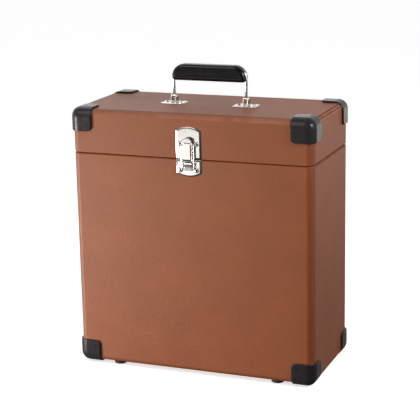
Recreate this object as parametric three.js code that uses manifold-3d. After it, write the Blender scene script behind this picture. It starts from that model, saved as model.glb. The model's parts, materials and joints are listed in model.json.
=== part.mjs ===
// Carrying case for twelve-inch records: a tall box with a top lid, hung on two strap hinges at the back and
// held shut at the front by an over-centre draw latch, with a swinging handle on the lid, eight corner caps
// and four rubber feet. Millimetres, +Z up, front towards -Y, origin under the middle of the feet.
import * as THREE from 'three';
import { RoundedBoxGeometry } from 'three/addons/geometries/RoundedBoxGeometry.js';
import { mergeVertices } from 'three/addons/utils/BufferGeometryUtils.js';
import Module from 'manifold-3d';

const wasm = await Module();
wasm.setup();

// Closed case, in case coordinates: z = 0 at the underside of the box.
const WIDTH = 368;
const DEPTH = 175;
const HEIGHT = 386;
const PARTING = 321.5;
const EDGE_RADIUS = 9;
const EDGE_STEPS = 3;

// Wall build-up, from the outside in.
const GAP = 0.3;
const COVER = 1.2;
const BOARD = 8;
const LINING = 1;
const PARTING_GAP = 0.6;
const BOARD_INSET = COVER + GAP;
const ROOM_INSET = BOARD_INSET + BOARD;

// Locating collar inside the mouth.
const COLLAR_THICKNESS = 3.5;
const COLLAR_PLAY = 0.6;
const COLLAR_BELOW = 24;
const COLLAR_ABOVE = 8;

// Corner caps.
const CAP_PROUD = 3.3;
const CAP_REACH = 32;
const CAP_RADIUS = 14;
const CAP_FLAP_RADIUS = 6;
const CAP_STEPS = 3;

// Feet and their screws.
const FOOT_HEIGHT = 5;
const FOOT_RADIUS = 10;
const FOOT_X = 126;
const FOOT_Y = 72;
const FOOT_BORE_RADIUS = 2.1;
const FOOT_RECESS_RADIUS = 4.4;
const FOOT_RECESS_DEPTH = 2.5;
const SCREW_SHANK_RADIUS = 1.7;
const SCREW_HEAD_RADIUS = 3.9;
const SCREW_HEAD_HEIGHT = 1.2;
const SCREW_GRIP = 6;

// Rivets.
const RIVET_SHANK_RADIUS = 1.5;
const RIVET_HEAD_HEIGHT = 0.8;
const RIVET_HOLLOW_RADIUS = 0.9;
const RIVET_LENGTH = 8;
const LATCH_RIVET_HEAD_RADIUS = 3.5;
const BRACKET_RIVET_HEAD_RADIUS = 3.1;
const ROUND_STEPS = 12;

// Latch.
const PLATE = 1.2;
const LATCH_WIDTH = 38;
const LATCH_TOP = 368.7;
const LATCH_SHOULDER = 362.8;
const LATCH_PLATE_FOOT = 322.5;
const CATCH_TOP = 320.9;
const CATCH_SHOULDER = 302;
const CATCH_BOTTOM = 296.4;
const LATCH_RIVET_X = 12.4;
const LATCH_RIVET_Z = 344.5;
const CATCH_RIVET_Z = 306.3;
const LEVER_HEEL_RADIUS = 2.6;
const LEVER_PIVOT_Z = 323;
const LEVER_HALF_BACK = 8.15;
const LEVER_HALF_FRONT = 4.8;
const LEVER_FACE_TOP = 24.5;
const LEVER_WALL = 0.8;
const LIP_TOP = 30.7;
const LIP_HALF_WIDTH = 8.1;
const LIP_CORNER = 7;
const LIP_PROUD = 3.6;
const LEVER_PIN_RADIUS = 0.7;
const LEVER_PIN_HALF = 6.2;
const EAR_RADIUS = 1.5;
const EAR_INNER = 2.3;
const EAR_OUTER = 3.4;
const EAR_ROOT_TOP = 6;
const EAR_ROOT_FOOT = 1;
const LOOP_WIRE_RADIUS = 1.15;
const LOOP_HALF_WIDTH = 9.6;
const LOOP_PIVOT_Y = 0.4;
const LOOP_PIVOT_Z = 20;
const LOOP_DROP = 35.5;
const LOOP_CORNER = 3.5;
const LOOP_END_CORNER = 1.6;
const LOOP_END_X = 5;
const HOOK_PROUD = 0.9;
const HOOK_HALF_WIDTH = 5.5;
const HOOK_LOW = 309;
const HOOK_HIGH = 318;

// Hinges.
const HINGE_X = 112;
const HINGE_HALF_WIDTH = 20;
const HINGE_LEAF_HEIGHT = 22;
const HINGE_KNUCKLE_RADIUS = 3.2;
const HINGE_PIN_RADIUS = 1.4;
const HINGE_LID_KNUCKLE_HALF = 8;
const HINGE_PIN_HALF = 20.6;
const HINGE_AXIS_Y = DEPTH / 2 + GAP + HINGE_KNUCKLE_RADIUS;

// Handle.
const HANDLE_PIVOT_Z = HEIGHT + 10;
const HANDLE_LEG_X = 56.6;
const BAIL_RADIUS = 2.25;
const EYE_RADIUS = 4.3;
const GRIP_HALF_LENGTH = 57.6;
const GRIP_BOTTOM = 25;
const GRIP_TOP = 49.5;
const GRIP_DEPTH = 19;
const GRIP_CORNER = 19;
const GRIP_FOOT_CORNER = 5.5;
const GRIP_BEVEL = 4;
const HANDLE_PIN_RADIUS = 1.3;
const HANDLE_PIN_HEAD_RADIUS = 2.7;
const HANDLE_PIN_HEAD = 1.1;
const BRACKET_HALF_LENGTH = 18.5;
const BRACKET_HALF_DEPTH = 12;
const BRACKET_CORNER = 4;
const BRACKET_PLATE = 1.4;
const BRACKET_EAR = 1.3;
const BRACKET_EAR_INNER = BAIL_RADIUS + 0.35;
const BRACKET_EAR_HALF_BASE = 8;
const BRACKET_EAR_RADIUS = 4.6;
const BRACKET_RIVET_X = 11.5;

const FRONT = -DEPTH / 2;
const PLATE_BACK = FRONT - GAP;
const PLATE_FACE = PLATE_BACK - PLATE;
const LEVER_PIVOT_Y = PLATE_FACE - GAP - LEVER_HEEL_RADIUS;

const finish = (name, color, roughness, metalness = 0) => () => {
  return new THREE.MeshStandardMaterial({ name, color, roughness, metalness });
};
const leatherette = finish('leatherette', 0x8a5540, 0.62);
const boardWood = finish('board', 0xb89a72, 0.8);
const liningCloth = finish('lining', 0x1c1b1b, 0.95);
const blackPlastic = finish('black_plastic', 0x0c0c0d, 0.22);
const rubber = finish('rubber', 0x111111, 0.75);
const nickel = finish('nickel', 0xc9c5bd, 0.22, 1);

// ---- Solids ----

function toSolid(geometry) {
  const bare = geometry.clone();
  bare.deleteAttribute('normal');
  bare.deleteAttribute('uv');
  const merged = mergeVertices(bare, 1e-4);
  const vertProperties = Float32Array.from(merged.attributes.position.array);
  const triVerts = Uint32Array.from(merged.index.array);
  return new wasm.Manifold(new wasm.Mesh({ numProp: 3, vertProperties, triVerts }));
}

function toGeometry(solid) {
  const mesh = solid.getMesh();
  const geometry = new THREE.BufferGeometry();
  geometry.setAttribute('position', new THREE.BufferAttribute(mesh.vertProperties, 3));
  geometry.setIndex(new THREE.BufferAttribute(mesh.triVerts, 1));
  geometry.computeVertexNormals();
  return geometry;
}

function block([x0, x1], [y0, y1], [z0, z1]) {
  const box = new THREE.BoxGeometry(x1 - x0, y1 - y0, z1 - z0);
  box.translate((x0 + x1) / 2, (y0 + y1) / 2, (z0 + z1) / 2);
  return toSolid(box);
}

// Turns geometry made along +Z so that it runs along the given axis.
const TURNS = {
  x: new THREE.Matrix4().makeBasis(
    new THREE.Vector3(0, 1, 0), new THREE.Vector3(0, 0, 1), new THREE.Vector3(1, 0, 0)),
  y: new THREE.Matrix4().makeBasis(
    new THREE.Vector3(0, 0, 1), new THREE.Vector3(1, 0, 0), new THREE.Vector3(0, 1, 0)),
  z: new THREE.Matrix4(),
};

function turned(geometry, axis) {
  return geometry.applyMatrix4(TURNS[axis]);
}

// Extrudes a shape along an axis. Its two coordinates are the next two axes in cyclic order after that one:
// (y, z) along x, (z, x) along y and (x, y) along z.
function prism(shape, axis, from, to, curveSegments = 6) {
  const geometry = new THREE.ExtrudeGeometry(shape, { depth: to - from, bevelEnabled: false, curveSegments });
  geometry.translate(0, 0, from);
  return toSolid(turned(geometry, axis));
}

function rod(radius, axis, from, to, steps = ROUND_STEPS) {
  const geometry = new THREE.CylinderGeometry(radius, radius, to - from, steps);
  geometry.rotateX(Math.PI / 2);
  geometry.translate(0, 0, (from + to) / 2);
  return toSolid(turned(geometry, axis));
}

function lathe(profile, axis, steps = ROUND_STEPS) {
  const points = profile.map(([r, z]) => new THREE.Vector2(r, z));
  const geometry = new THREE.LatheGeometry(points, steps);
  geometry.rotateX(Math.PI / 2);
  return toSolid(turned(geometry, axis));
}

function tube(curve, radius, sides, steps) {
  const section = new THREE.Shape();
  for (let i = 0; i < sides; i += 1) {
    const angle = (2 * Math.PI * i) / sides;
    const point = [radius * Math.cos(angle), radius * Math.sin(angle)];
    if (i === 0) section.moveTo(...point);
    else section.lineTo(...point);
  }
  section.closePath();
  return toSolid(new THREE.ExtrudeGeometry(section, { steps, extrudePath: curve }));
}

function polygon(points) {
  return new THREE.Shape(points.map(([u, v]) => new THREE.Vector2(u, v)));
}

function unite(first, ...others) {
  return others.reduce((sum, other) => sum.add(other), first);
}

function cut(first, ...others) {
  return others.reduce((rest, other) => rest.subtract(other), first);
}

// The closed case shrunk by an inset on every face, with its edges rounded.
function caseBlock(inset, radius = EDGE_RADIUS - inset, steps = EDGE_STEPS) {
  const size = [WIDTH, DEPTH, HEIGHT].map((length) => length - 2 * inset);
  const geometry = new RoundedBoxGeometry(...size, steps, radius);
  geometry.translate(0, 0, HEIGHT / 2);
  return toSolid(geometry);
}

// ---- Case ----

const FAR = 1000;
const BASE_RIM = PARTING - PARTING_GAP / 2;
const LID_RIM = PARTING + PARTING_GAP / 2;
const ZONES = {
  base: { low: -FAR, high: BASE_RIM, rim: 1 },
  lid: { low: LID_RIM, high: FAR, rim: -1 },
};

// The part of a zone that stays the given distance behind its rim.
function zoneSlab({ low, high, rim }, behind) {
  const from = rim < 0 ? low + behind : low;
  const to = rim > 0 ? high - behind : high;
  return block([-FAR, FAR], [-FAR, FAR], [from, to]);
}

function room(inset, zRange) {
  const halfX = WIDTH / 2 - inset;
  const halfY = DEPTH / 2 - inset;
  return block([-halfX, halfX], [-halfY, halfY], zRange);
}

// Fastener holes through the shells, in case coordinates.
function shellHoles() {
  const holes = [];
  const radius = RIVET_SHANK_RADIUS + GAP;
  const frontDepth = PLATE_FACE + RIVET_LENGTH + GAP;
  for (const x of [-LATCH_RIVET_X, LATCH_RIVET_X]) {
    for (const z of [LATCH_RIVET_Z, CATCH_RIVET_Z]) {
      holes.push(rod(radius, 'y', FRONT - GAP, frontDepth).translate([x, 0, z]));
    }
  }
  const topDepth = HEIGHT + GAP + BRACKET_PLATE - RIVET_LENGTH - GAP;
  for (const x of bracketRivetPlaces()) {
    holes.push(rod(radius, 'z', topDepth, HEIGHT + GAP).translate([x, 0, 0]));
  }
  for (const [x, y] of footPlaces()) {
    holes.push(rod(SCREW_SHANK_RADIUS + GAP, 'z', -GAP, SCREW_GRIP + GAP).translate([x, y, 0]));
  }
  return holes;
}

function footPlaces() {
  return [-1, 1].flatMap((sx) => [-1, 1].map((sy) => [sx * FOOT_X, sy * FOOT_Y]));
}

function bracketRivetPlaces() {
  return [-1, 1].flatMap((side) => [-1, 1].map((s) => side * HANDLE_LEG_X + s * BRACKET_RIVET_X));
}

// Covering skin: outside faces, plus a turned-in strip over the rim of the boards.
function coverSolid(zone) {
  const outside = caseBlock(0).intersect(zoneSlab(zone, 0));
  const inside = caseBlock(COVER).intersect(zoneSlab(zone, COVER));
  const mouth = room(ROOM_INSET, [PARTING - 2 * COVER, PARTING + 2 * COVER]);
  return cut(outside, inside, mouth, ...shellHoles());
}

// Five boards of one zone: front and back run the full width, the sides stand between them, and the
// panel lies between all four.
function boardSolids(zone, panelRange) {
  const body = cut(caseBlock(BOARD_INSET).intersect(zoneSlab(zone, BOARD_INSET)), ...shellHoles());
  const outX = WIDTH / 2 - BOARD_INSET;
  const outY = DEPTH / 2 - BOARD_INSET;
  const inX = outX - BOARD;
  const inY = outY - BOARD;
  const betweenY = [-inY + GAP, inY - GAP];
  const betweenX = [-inX + GAP, inX - GAP];
  const all = [-FAR, FAR];
  return {
    front_board: body.intersect(block(all, [-outY, -inY], all)),
    back_board: body.intersect(block(all, [inY, outY], all)),
    left_board: body.intersect(block([-outX, -inX], betweenY, all)),
    right_board: body.intersect(block([inX, outX], betweenY, all)),
    panel: body.intersect(block(betweenX, betweenY, panelRange)),
  };
}

// Open-mouthed cloth lining: a thin tray between a floor and a rim height.
function liningSolid(floor, rim, upward) {
  const outer = room(ROOM_INSET + GAP, [Math.min(floor, rim), Math.max(floor, rim)]);
  const innerFloor = floor + (upward ? LINING : -LINING);
  const innerRim = rim + (upward ? 1 : -1);
  const innerRange = [Math.min(innerFloor, innerRim), Math.max(innerFloor, innerRim)];
  return cut(outer, room(ROOM_INSET + GAP + LINING, innerRange));
}

function collarSolids() {
  const outX = WIDTH / 2 - ROOM_INSET - COLLAR_PLAY;
  const outY = DEPTH / 2 - ROOM_INSET - COLLAR_PLAY;
  const inX = outX - COLLAR_THICKNESS;
  const inY = outY - COLLAR_THICKNESS;
  const height = [PARTING - COLLAR_BELOW, PARTING + COLLAR_ABOVE];
  const betweenY = [-inY + GAP, inY - GAP];
  return {
    front: block([-outX, outX], [-outY, -inY], height),
    back: block([-outX, outX], [inY, outY], height),
    left: block([-outX, -inX], betweenY, height),
    right: block([inX, outX], betweenY, height),
  };
}

// One corner cap, for the corner at +X +Y +Z of the case. Each flap has a rounded free corner.
function cornerCap() {
  const corner = [WIDTH / 2, DEPTH / 2, HEIGHT];
  const [fromX, fromY, fromZ] = corner.map((edge) => edge - CAP_REACH);
  const flap = (u, v) => {
    const r = CAP_FLAP_RADIUS;
    const shape = new THREE.Shape();
    shape.moveTo(u + r, v);
    shape.lineTo(u + FAR, v);
    shape.lineTo(u + FAR, v + FAR);
    shape.lineTo(u, v + FAR);
    shape.lineTo(u, v + r);
    shape.absarc(u + r, v + r, r, Math.PI, 1.5 * Math.PI, false);
    return shape;
  };
  const shell = cut(caseBlock(-CAP_PROUD, CAP_RADIUS, CAP_STEPS), caseBlock(-GAP));
  return shell
    .intersect(prism(flap(fromY, fromZ), 'x', fromX, FAR, 3))
    .intersect(prism(flap(fromZ, fromX), 'y', fromY, FAR, 3))
    .intersect(prism(flap(fromX, fromY), 'z', fromZ, FAR, 3));
}

// ---- Fasteners and feet, each about its own axis with z = 0 under the head ----

function rivetSolid(headRadius, axis, length = RIVET_LENGTH) {
  const under = -length;
  const profile = [
    [0, under],
    [RIVET_SHANK_RADIUS, under],
    [RIVET_SHANK_RADIUS, 0],
    [headRadius, 0],
    [headRadius - 0.2, RIVET_HEAD_HEIGHT / 2],
    [headRadius - 1.1, RIVET_HEAD_HEIGHT],
    [RIVET_HOLLOW_RADIUS + 0.3, RIVET_HEAD_HEIGHT],
    [RIVET_HOLLOW_RADIUS, RIVET_HEAD_HEIGHT / 3],
    [0, RIVET_HEAD_HEIGHT / 3],
  ];
  return lathe(profile, axis);
}

function footSolid() {
  const top = -GAP;
  const bottom = -FOOT_HEIGHT;
  const ledge = bottom + FOOT_RECESS_DEPTH;
  const profile = [
    [FOOT_BORE_RADIUS, top],
    [FOOT_BORE_RADIUS, ledge],
    [FOOT_RECESS_RADIUS, ledge],
    [FOOT_RECESS_RADIUS, bottom],
    [FOOT_RADIUS - 1.2, bottom],
    [FOOT_RADIUS - 0.4, bottom + 0.8],
    [FOOT_RADIUS, top],
    [FOOT_BORE_RADIUS, top],
  ];
  return lathe(profile, 'z', 18);
}

function footScrewSolid() {
  const seat = -FOOT_HEIGHT + FOOT_RECESS_DEPTH - GAP;
  const profile = [
    [0, seat - SCREW_HEAD_HEIGHT],
    [SCREW_HEAD_RADIUS * 0.6, seat - SCREW_HEAD_HEIGHT],
    [SCREW_HEAD_RADIUS, seat - SCREW_HEAD_HEIGHT * 0.4],
    [SCREW_HEAD_RADIUS, seat],
    [SCREW_SHANK_RADIUS, seat],
    [SCREW_SHANK_RADIUS, SCREW_GRIP - 2],
    [0, SCREW_GRIP],
  ];
  return lathe(profile, 'z');
}

// ---- Latch ----

// Outline in (z, x) with one arched end, for a plate lying against the front.
function archedOutline(straightEnd, shoulder, archEnd) {
  const half = LATCH_WIDTH / 2;
  const rise = Math.abs(archEnd - shoulder);
  const radius = (half * half + rise * rise) / (2 * rise);
  const side = Math.sign(archEnd - shoulder);
  const centre = archEnd - side * radius;
  const sweep = Math.asin(half / radius);
  const middle = side > 0 ? 0 : Math.PI;
  const shape = new THREE.Shape();
  shape.moveTo(straightEnd, half * side);
  shape.lineTo(straightEnd, -half * side);
  shape.absarc(centre, 0, radius, middle - sweep, middle + sweep, false);
  shape.closePath();
  return shape;
}

function platePrism(outline) {
  return prism(outline, 'y', PLATE_FACE, PLATE_BACK, 10);
}

function rivetHoles(z) {
  return [-LATCH_RIVET_X, LATCH_RIVET_X].map((x) => {
    return rod(RIVET_SHANK_RADIUS + GAP, 'y', PLATE_FACE - 1, PLATE_BACK + 1).translate([x, 0, z]);
  });
}

// Lid plate with the two ears that carry the lever pin inside the lever's channel.
function latchPlateSolid() {
  const plate = cut(platePrism(archedOutline(LATCH_PLATE_FOOT, LATCH_SHOULDER, LATCH_TOP)),
    ...rivetHoles(LATCH_RIVET_Z));
  const ear = new THREE.Shape();
  ear.moveTo(PLATE_BACK, LEVER_PIVOT_Z + EAR_ROOT_TOP);
  ear.lineTo(LEVER_PIVOT_Y, LEVER_PIVOT_Z + EAR_RADIUS);
  ear.absarc(LEVER_PIVOT_Y, LEVER_PIVOT_Z, EAR_RADIUS, Math.PI / 2, 1.75 * Math.PI, false);
  ear.lineTo(PLATE_FACE, LEVER_PIVOT_Z + EAR_ROOT_FOOT);
  ear.lineTo(PLATE_BACK, LEVER_PIVOT_Z + EAR_ROOT_FOOT);
  ear.closePath();
  const bore = rod(LEVER_PIN_RADIUS + GAP, 'x', -FAR, FAR).translate([0, LEVER_PIVOT_Y, LEVER_PIVOT_Z]);
  return cut(unite(plate, prism(ear, 'x', EAR_INNER, EAR_OUTER),
    prism(ear, 'x', -EAR_OUTER, -EAR_INNER)), bore);
}

// Base plate with the pressed-out catch that the loop pulls up against.
function catchPlateSolid() {
  const plate = cut(platePrism(archedOutline(CATCH_TOP, CATCH_SHOULDER, CATCH_BOTTOM)),
    ...rivetHoles(CATCH_RIVET_Z));
  const nose = polygon([
    [PLATE_BACK, HOOK_LOW],
    [PLATE_BACK, HOOK_HIGH],
    [PLATE_FACE, HOOK_HIGH],
    [PLATE_FACE - HOOK_PROUD, HOOK_LOW + 3],
    [PLATE_FACE - HOOK_PROUD, HOOK_LOW],
  ]);
  return unite(plate, prism(nose, 'x', -HOOK_HALF_WIDTH, HOOK_HALF_WIDTH));
}

// Trapezoid in (x, y), open towards the plate, grown or shrunk by a margin.
function leverSection(margin, back) {
  const front = -LEVER_HEEL_RADIUS - margin;
  return polygon([
    [-LEVER_HALF_BACK - margin, back],
    [-LEVER_HALF_FRONT - margin, front],
    [LEVER_HALF_FRONT + margin, front],
    [LEVER_HALF_BACK + margin, back],
  ]);
}

// Lever about its pin: a channel with bevelled sides, a round heel and a finger lip at the free end.
function leverSolid() {
  const heel = LEVER_HEEL_RADIUS;
  const side = new THREE.Shape();
  side.moveTo(heel, LEVER_FACE_TOP);
  side.lineTo(-heel, LEVER_FACE_TOP);
  side.lineTo(-heel, 0);
  side.absarc(0, 0, heel, Math.PI, 2 * Math.PI, false);
  side.closePath();
  const outside = prism(side, 'x', -FAR, FAR, 10)
    .intersect(prism(leverSection(0, heel), 'z', -heel, LEVER_FACE_TOP));
  const channel = prism(leverSection(-LEVER_WALL, heel + GAP), 'z',
    -heel - 1, LEVER_FACE_TOP - LEVER_WALL);
  const lip = new THREE.Shape();
  const r = LIP_CORNER;
  lip.moveTo(LEVER_FACE_TOP - LEVER_WALL, -LIP_HALF_WIDTH);
  lip.lineTo(LIP_TOP - r, -LIP_HALF_WIDTH);
  lip.absarc(LIP_TOP - r, -LIP_HALF_WIDTH + r, r, 1.5 * Math.PI, 2 * Math.PI, false);
  lip.absarc(LIP_TOP - r, LIP_HALF_WIDTH - r, r, 0, 0.5 * Math.PI, false);
  lip.lineTo(LEVER_FACE_TOP - LEVER_WALL, LIP_HALF_WIDTH);
  lip.closePath();
  const tab = prism(lip, 'y', -LIP_PROUD, -LIP_PROUD + LEVER_WALL + 0.4, 5);
  const pinBore = rod(LEVER_PIN_RADIUS + GAP, 'x', -FAR, FAR);
  const loopBore = rod(LOOP_WIRE_RADIUS + GAP, 'x', -FAR, FAR)
    .translate([0, LOOP_PIVOT_Y, LOOP_PIVOT_Z]);
  return cut(unite(cut(outside, channel), tab), pinBore, loopBore);
}

// A path of straight runs and round corners. A point with `round` ends a corner that bends about it.
function wirePath(points) {
  const path = new THREE.CurvePath();
  points.slice(1).forEach((point, i) => {
    const from = points[i];
    if (point.round) path.add(new THREE.QuadraticBezierCurve3(from.at, point.round, point.at));
    else path.add(new THREE.LineCurve3(from.at, point.at));
  });
  return path;
}

// Loop about its pivot on the lever: two legs, a bar at the bottom and two inturned ends at the top.
function loopSolid() {
  const at = (x, z) => new THREE.Vector3(x, 0, z);
  const w = LOOP_HALF_WIDTH;
  const c = LOOP_CORNER;
  const e = LOOP_END_CORNER;
  const half = (s) => [
    { at: at(s * LOOP_END_X, 0) },
    { at: at(s * (w - e), 0) },
    { at: at(s * w, -e), round: at(s * w, 0) },
    { at: at(s * w, -LOOP_DROP + c) },
    { at: at(s * (w - c), -LOOP_DROP), round: at(s * w, -LOOP_DROP) },
  ];
  const left = half(-1);
  const right = half(1).reverse();
  const joined = right.map((point, i) => {
    const next = right[i - 1];
    return { at: point.at, round: next ? next.round : undefined };
  });
  return tube(wirePath([...left, ...joined]), LOOP_WIRE_RADIUS, 8, 36);
}

// ---- Hinges, about the pin axis, with the case on the -Y side ----

function hingeLeafSolid(side, knuckles) {
  const back = -HINGE_KNUCKLE_RADIUS;
  const face = back + PLATE;
  const clear = HINGE_KNUCKLE_RADIUS + GAP;
  const zRange = (from, to) => (side > 0 ? [from, to] : [-to, -from]);
  const parts = [block([-HINGE_HALF_WIDTH, HINGE_HALF_WIDTH], [back, face],
    zRange(clear, clear + HINGE_LEAF_HEIGHT))];
  for (const [from, to] of knuckles) {
    parts.push(block([from, to], [back, face], zRange(0, clear + 1)));
    parts.push(rod(HINGE_KNUCKLE_RADIUS, 'x', from, to, 16));
  }
  return cut(unite(...parts), rod(HINGE_PIN_RADIUS + GAP, 'x', -FAR, FAR));
}

const LID_KNUCKLES = [[-HINGE_LID_KNUCKLE_HALF, HINGE_LID_KNUCKLE_HALF]];
const BASE_KNUCKLES = [
  [-HINGE_HALF_WIDTH, -HINGE_LID_KNUCKLE_HALF - GAP],
  [HINGE_LID_KNUCKLE_HALF + GAP, HINGE_HALF_WIDTH],
];

// ---- Handle, about its pivot axis, upright ----

// The wire runs up each leg, round the grip's shoulders and through the grip.
function bailCurve() {
  const inside = GRIP_TOP - 8;
  const points = [
    [HANDLE_LEG_X, 2],
    [HANDLE_LEG_X, 16],
    [HANDLE_LEG_X, 30],
    [HANDLE_LEG_X - 3, 39],
    [HANDLE_LEG_X - 10, 44],
    [HANDLE_LEG_X - 22, inside + 1],
    [HANDLE_LEG_X - 34, inside],
  ];
  const right = points.map(([x, z]) => new THREE.Vector3(x, 0, z));
  const left = points.map(([x, z]) => new THREE.Vector3(-x, 0, z)).reverse();
  return new THREE.CatmullRomCurve3([...right, ...left], false, 'centripetal');
}

function bailSolid() {
  const wire = tube(bailCurve(), BAIL_RADIUS, 8, 40);
  const eyes = [-1, 1].map((side) => {
    const from = side * HANDLE_LEG_X - BAIL_RADIUS;
    return rod(EYE_RADIUS, 'x', from, from + 2 * BAIL_RADIUS, 20);
  });
  return cut(unite(wire, ...eyes), rod(HANDLE_PIN_RADIUS + GAP, 'x', -FAR, FAR));
}

function gripSolid() {
  const b = GRIP_BEVEL;
  const half = GRIP_HALF_LENGTH - b;
  const low = GRIP_BOTTOM + b;
  const high = GRIP_TOP - b;
  const top = GRIP_CORNER - b;
  const foot = GRIP_FOOT_CORNER - b;
  const shape = new THREE.Shape();
  shape.moveTo(low, -half + foot);
  shape.absarc(low + foot, -half + foot, foot, Math.PI, 1.5 * Math.PI, false);
  shape.absarc(high - top, -half + top, top, 1.5 * Math.PI, 2 * Math.PI, false);
  shape.absarc(high - top, half - top, top, 0, 0.5 * Math.PI, false);
  shape.absarc(low + foot, half - foot, foot, 0.5 * Math.PI, Math.PI, false);
  shape.closePath();
  const straight = GRIP_DEPTH - 2 * b;
  const geometry = new THREE.ExtrudeGeometry(shape, {
    depth: straight, curveSegments: 4, bevelThickness: b, bevelSize: b, bevelSegments: 2,
  });
  geometry.translate(0, 0, -straight / 2);
  const channel = tube(bailCurve(), BAIL_RADIUS + GAP, 8, 40);
  return cut(toSolid(turned(geometry, 'y')), channel);
}

// Bracket for one leg: a plate with two ears, standing on the lid under the pivot axis.
function bracketSolid() {
  const foot = HEIGHT + GAP - HANDLE_PIVOT_Z;
  const top = foot + BRACKET_PLATE;
  const r = BRACKET_CORNER;
  const l = BRACKET_HALF_LENGTH - r;
  const d = BRACKET_HALF_DEPTH - r;
  const outline = new THREE.Shape();
  outline.absarc(l, d, r, 0, 0.5 * Math.PI, false);
  outline.absarc(-l, d, r, 0.5 * Math.PI, Math.PI, false);
  outline.absarc(-l, -d, r, Math.PI, 1.5 * Math.PI, false);
  outline.absarc(l, -d, r, 1.5 * Math.PI, 2 * Math.PI, false);
  outline.closePath();
  const ear = new THREE.Shape();
  ear.moveTo(-BRACKET_EAR_HALF_BASE, foot);
  ear.lineTo(BRACKET_EAR_HALF_BASE, foot);
  ear.absarc(0, 0, BRACKET_EAR_RADIUS, 0.1 * Math.PI, 0.9 * Math.PI, false);
  ear.closePath();
  const inner = BRACKET_EAR_INNER;
  const outer = inner + BRACKET_EAR;
  const body = unite(prism(outline, 'z', foot, top, 4), prism(ear, 'x', inner, outer, 8),
    prism(ear, 'x', -outer, -inner, 8));
  const holes = [-BRACKET_RIVET_X, BRACKET_RIVET_X].map((x) => {
    return rod(RIVET_SHANK_RADIUS + GAP, 'z', foot - 1, top + 1).translate([x, 0, 0]);
  });
  return cut(body, rod(HANDLE_PIN_RADIUS + GAP, 'x', -FAR, FAR), ...holes);
}

function handlePinSolid() {
  const ears = BRACKET_EAR_INNER + BRACKET_EAR + GAP;
  const end = ears + HANDLE_PIN_HEAD;
  const r = HANDLE_PIN_RADIUS;
  const head = HANDLE_PIN_HEAD_RADIUS;
  return lathe([
    [0, -end],
    [head - 0.6, -end],
    [head, -ears],
    [r, -ears],
    [r, ears],
    [head, ears],
    [head - 0.6, end],
    [0, end],
  ], 'x');
}

// ---- Assembly ----

function add(group, name, solid, material) {
  const mesh = new THREE.Mesh(toGeometry(solid), material());
  mesh.name = name;
  group.add(mesh);
  return mesh;
}

// Adds a copy of a solid mirrored through the case's middle planes, for the eight corners.
function mirrored(solid, signs) {
  const [sx, sy, sz] = signs;
  const about = HEIGHT / 2;
  return solid.translate([0, 0, -about]).scale([sx, sy, sz]).translate([0, 0, about]);
}

const SIDES = [['left', -1], ['right', 1]];
const FACES = [['front', -1], ['back', 1]];

function addBoards(group, zoneName, panelName, panelRange) {
  const { panel, ...walls } = boardSolids(ZONES[zoneName], panelRange);
  for (const [name, solid] of Object.entries(walls)) {
    add(group, `${zoneName}_${name}`, solid, boardWood);
  }
  add(group, `${zoneName}_${panelName}_board`, panel, boardWood);
}

function addCaps(group, zoneName, sz) {
  const cap = cornerCap();
  for (const [face, sy] of FACES) {
    for (const [side, sx] of SIDES) {
      add(group, `${zoneName}_corner_${face}_${side}`, mirrored(cap, [sx, sy, sz]), blackPlastic);
    }
  }
}

function addFeet(group) {
  const foot = footSolid();
  const screw = footScrewSolid();
  for (const [face, sy] of FACES) {
    for (const [side, sx] of SIDES) {
      add(group, `foot_${face}_${side}`, foot, rubber).position.set(sx * FOOT_X, sy * FOOT_Y, 0);
      const fastener = add(group, `foot_screw_${face}_${side}`, screw, nickel);
      fastener.position.set(sx * FOOT_X, sy * FOOT_Y, 0);
    }
  }
}

function addFrontRivets(group, label, z) {
  const rivet = rivetSolid(LATCH_RIVET_HEAD_RADIUS, 'y').scale([1, -1, 1]);
  for (const [side, sx] of SIDES) {
    add(group, `${label}_rivet_${side}`, rivet, nickel)
      .position.set(sx * LATCH_RIVET_X, PLATE_FACE - GAP, z);
  }
}

function buildBase() {
  const base = new THREE.Group();
  add(base, 'base_cover', coverSolid(ZONES.base), leatherette);
  addBoards(base, 'base', 'bottom', [BOARD_INSET, ROOM_INSET]);
  const liningTop = PARTING - COLLAR_BELOW - GAP;
  add(base, 'base_lining', liningSolid(ROOM_INSET + GAP, liningTop, true), liningCloth);
  for (const [name, solid] of Object.entries(collarSolids())) {
    add(base, `collar_${name}`, solid, liningCloth);
  }
  addCaps(base, 'base', -1);
  addFeet(base);
  add(base, 'catch_plate', catchPlateSolid(), nickel);
  addFrontRivets(base, 'catch', CATCH_RIVET_Z);
  const leaf = hingeLeafSolid(-1, BASE_KNUCKLES);
  const pin = rod(HINGE_PIN_RADIUS, 'x', -HINGE_PIN_HALF, HINGE_PIN_HALF);
  for (const [side, sx] of SIDES) {
    add(base, `hinge_base_leaf_${side}`, leaf, nickel).position.set(sx * HINGE_X, HINGE_AXIS_Y, PARTING);
    add(base, `hinge_pin_${side}`, pin, nickel).position.set(sx * HINGE_X, HINGE_AXIS_Y, PARTING);
  }
  return base;
}

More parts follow.
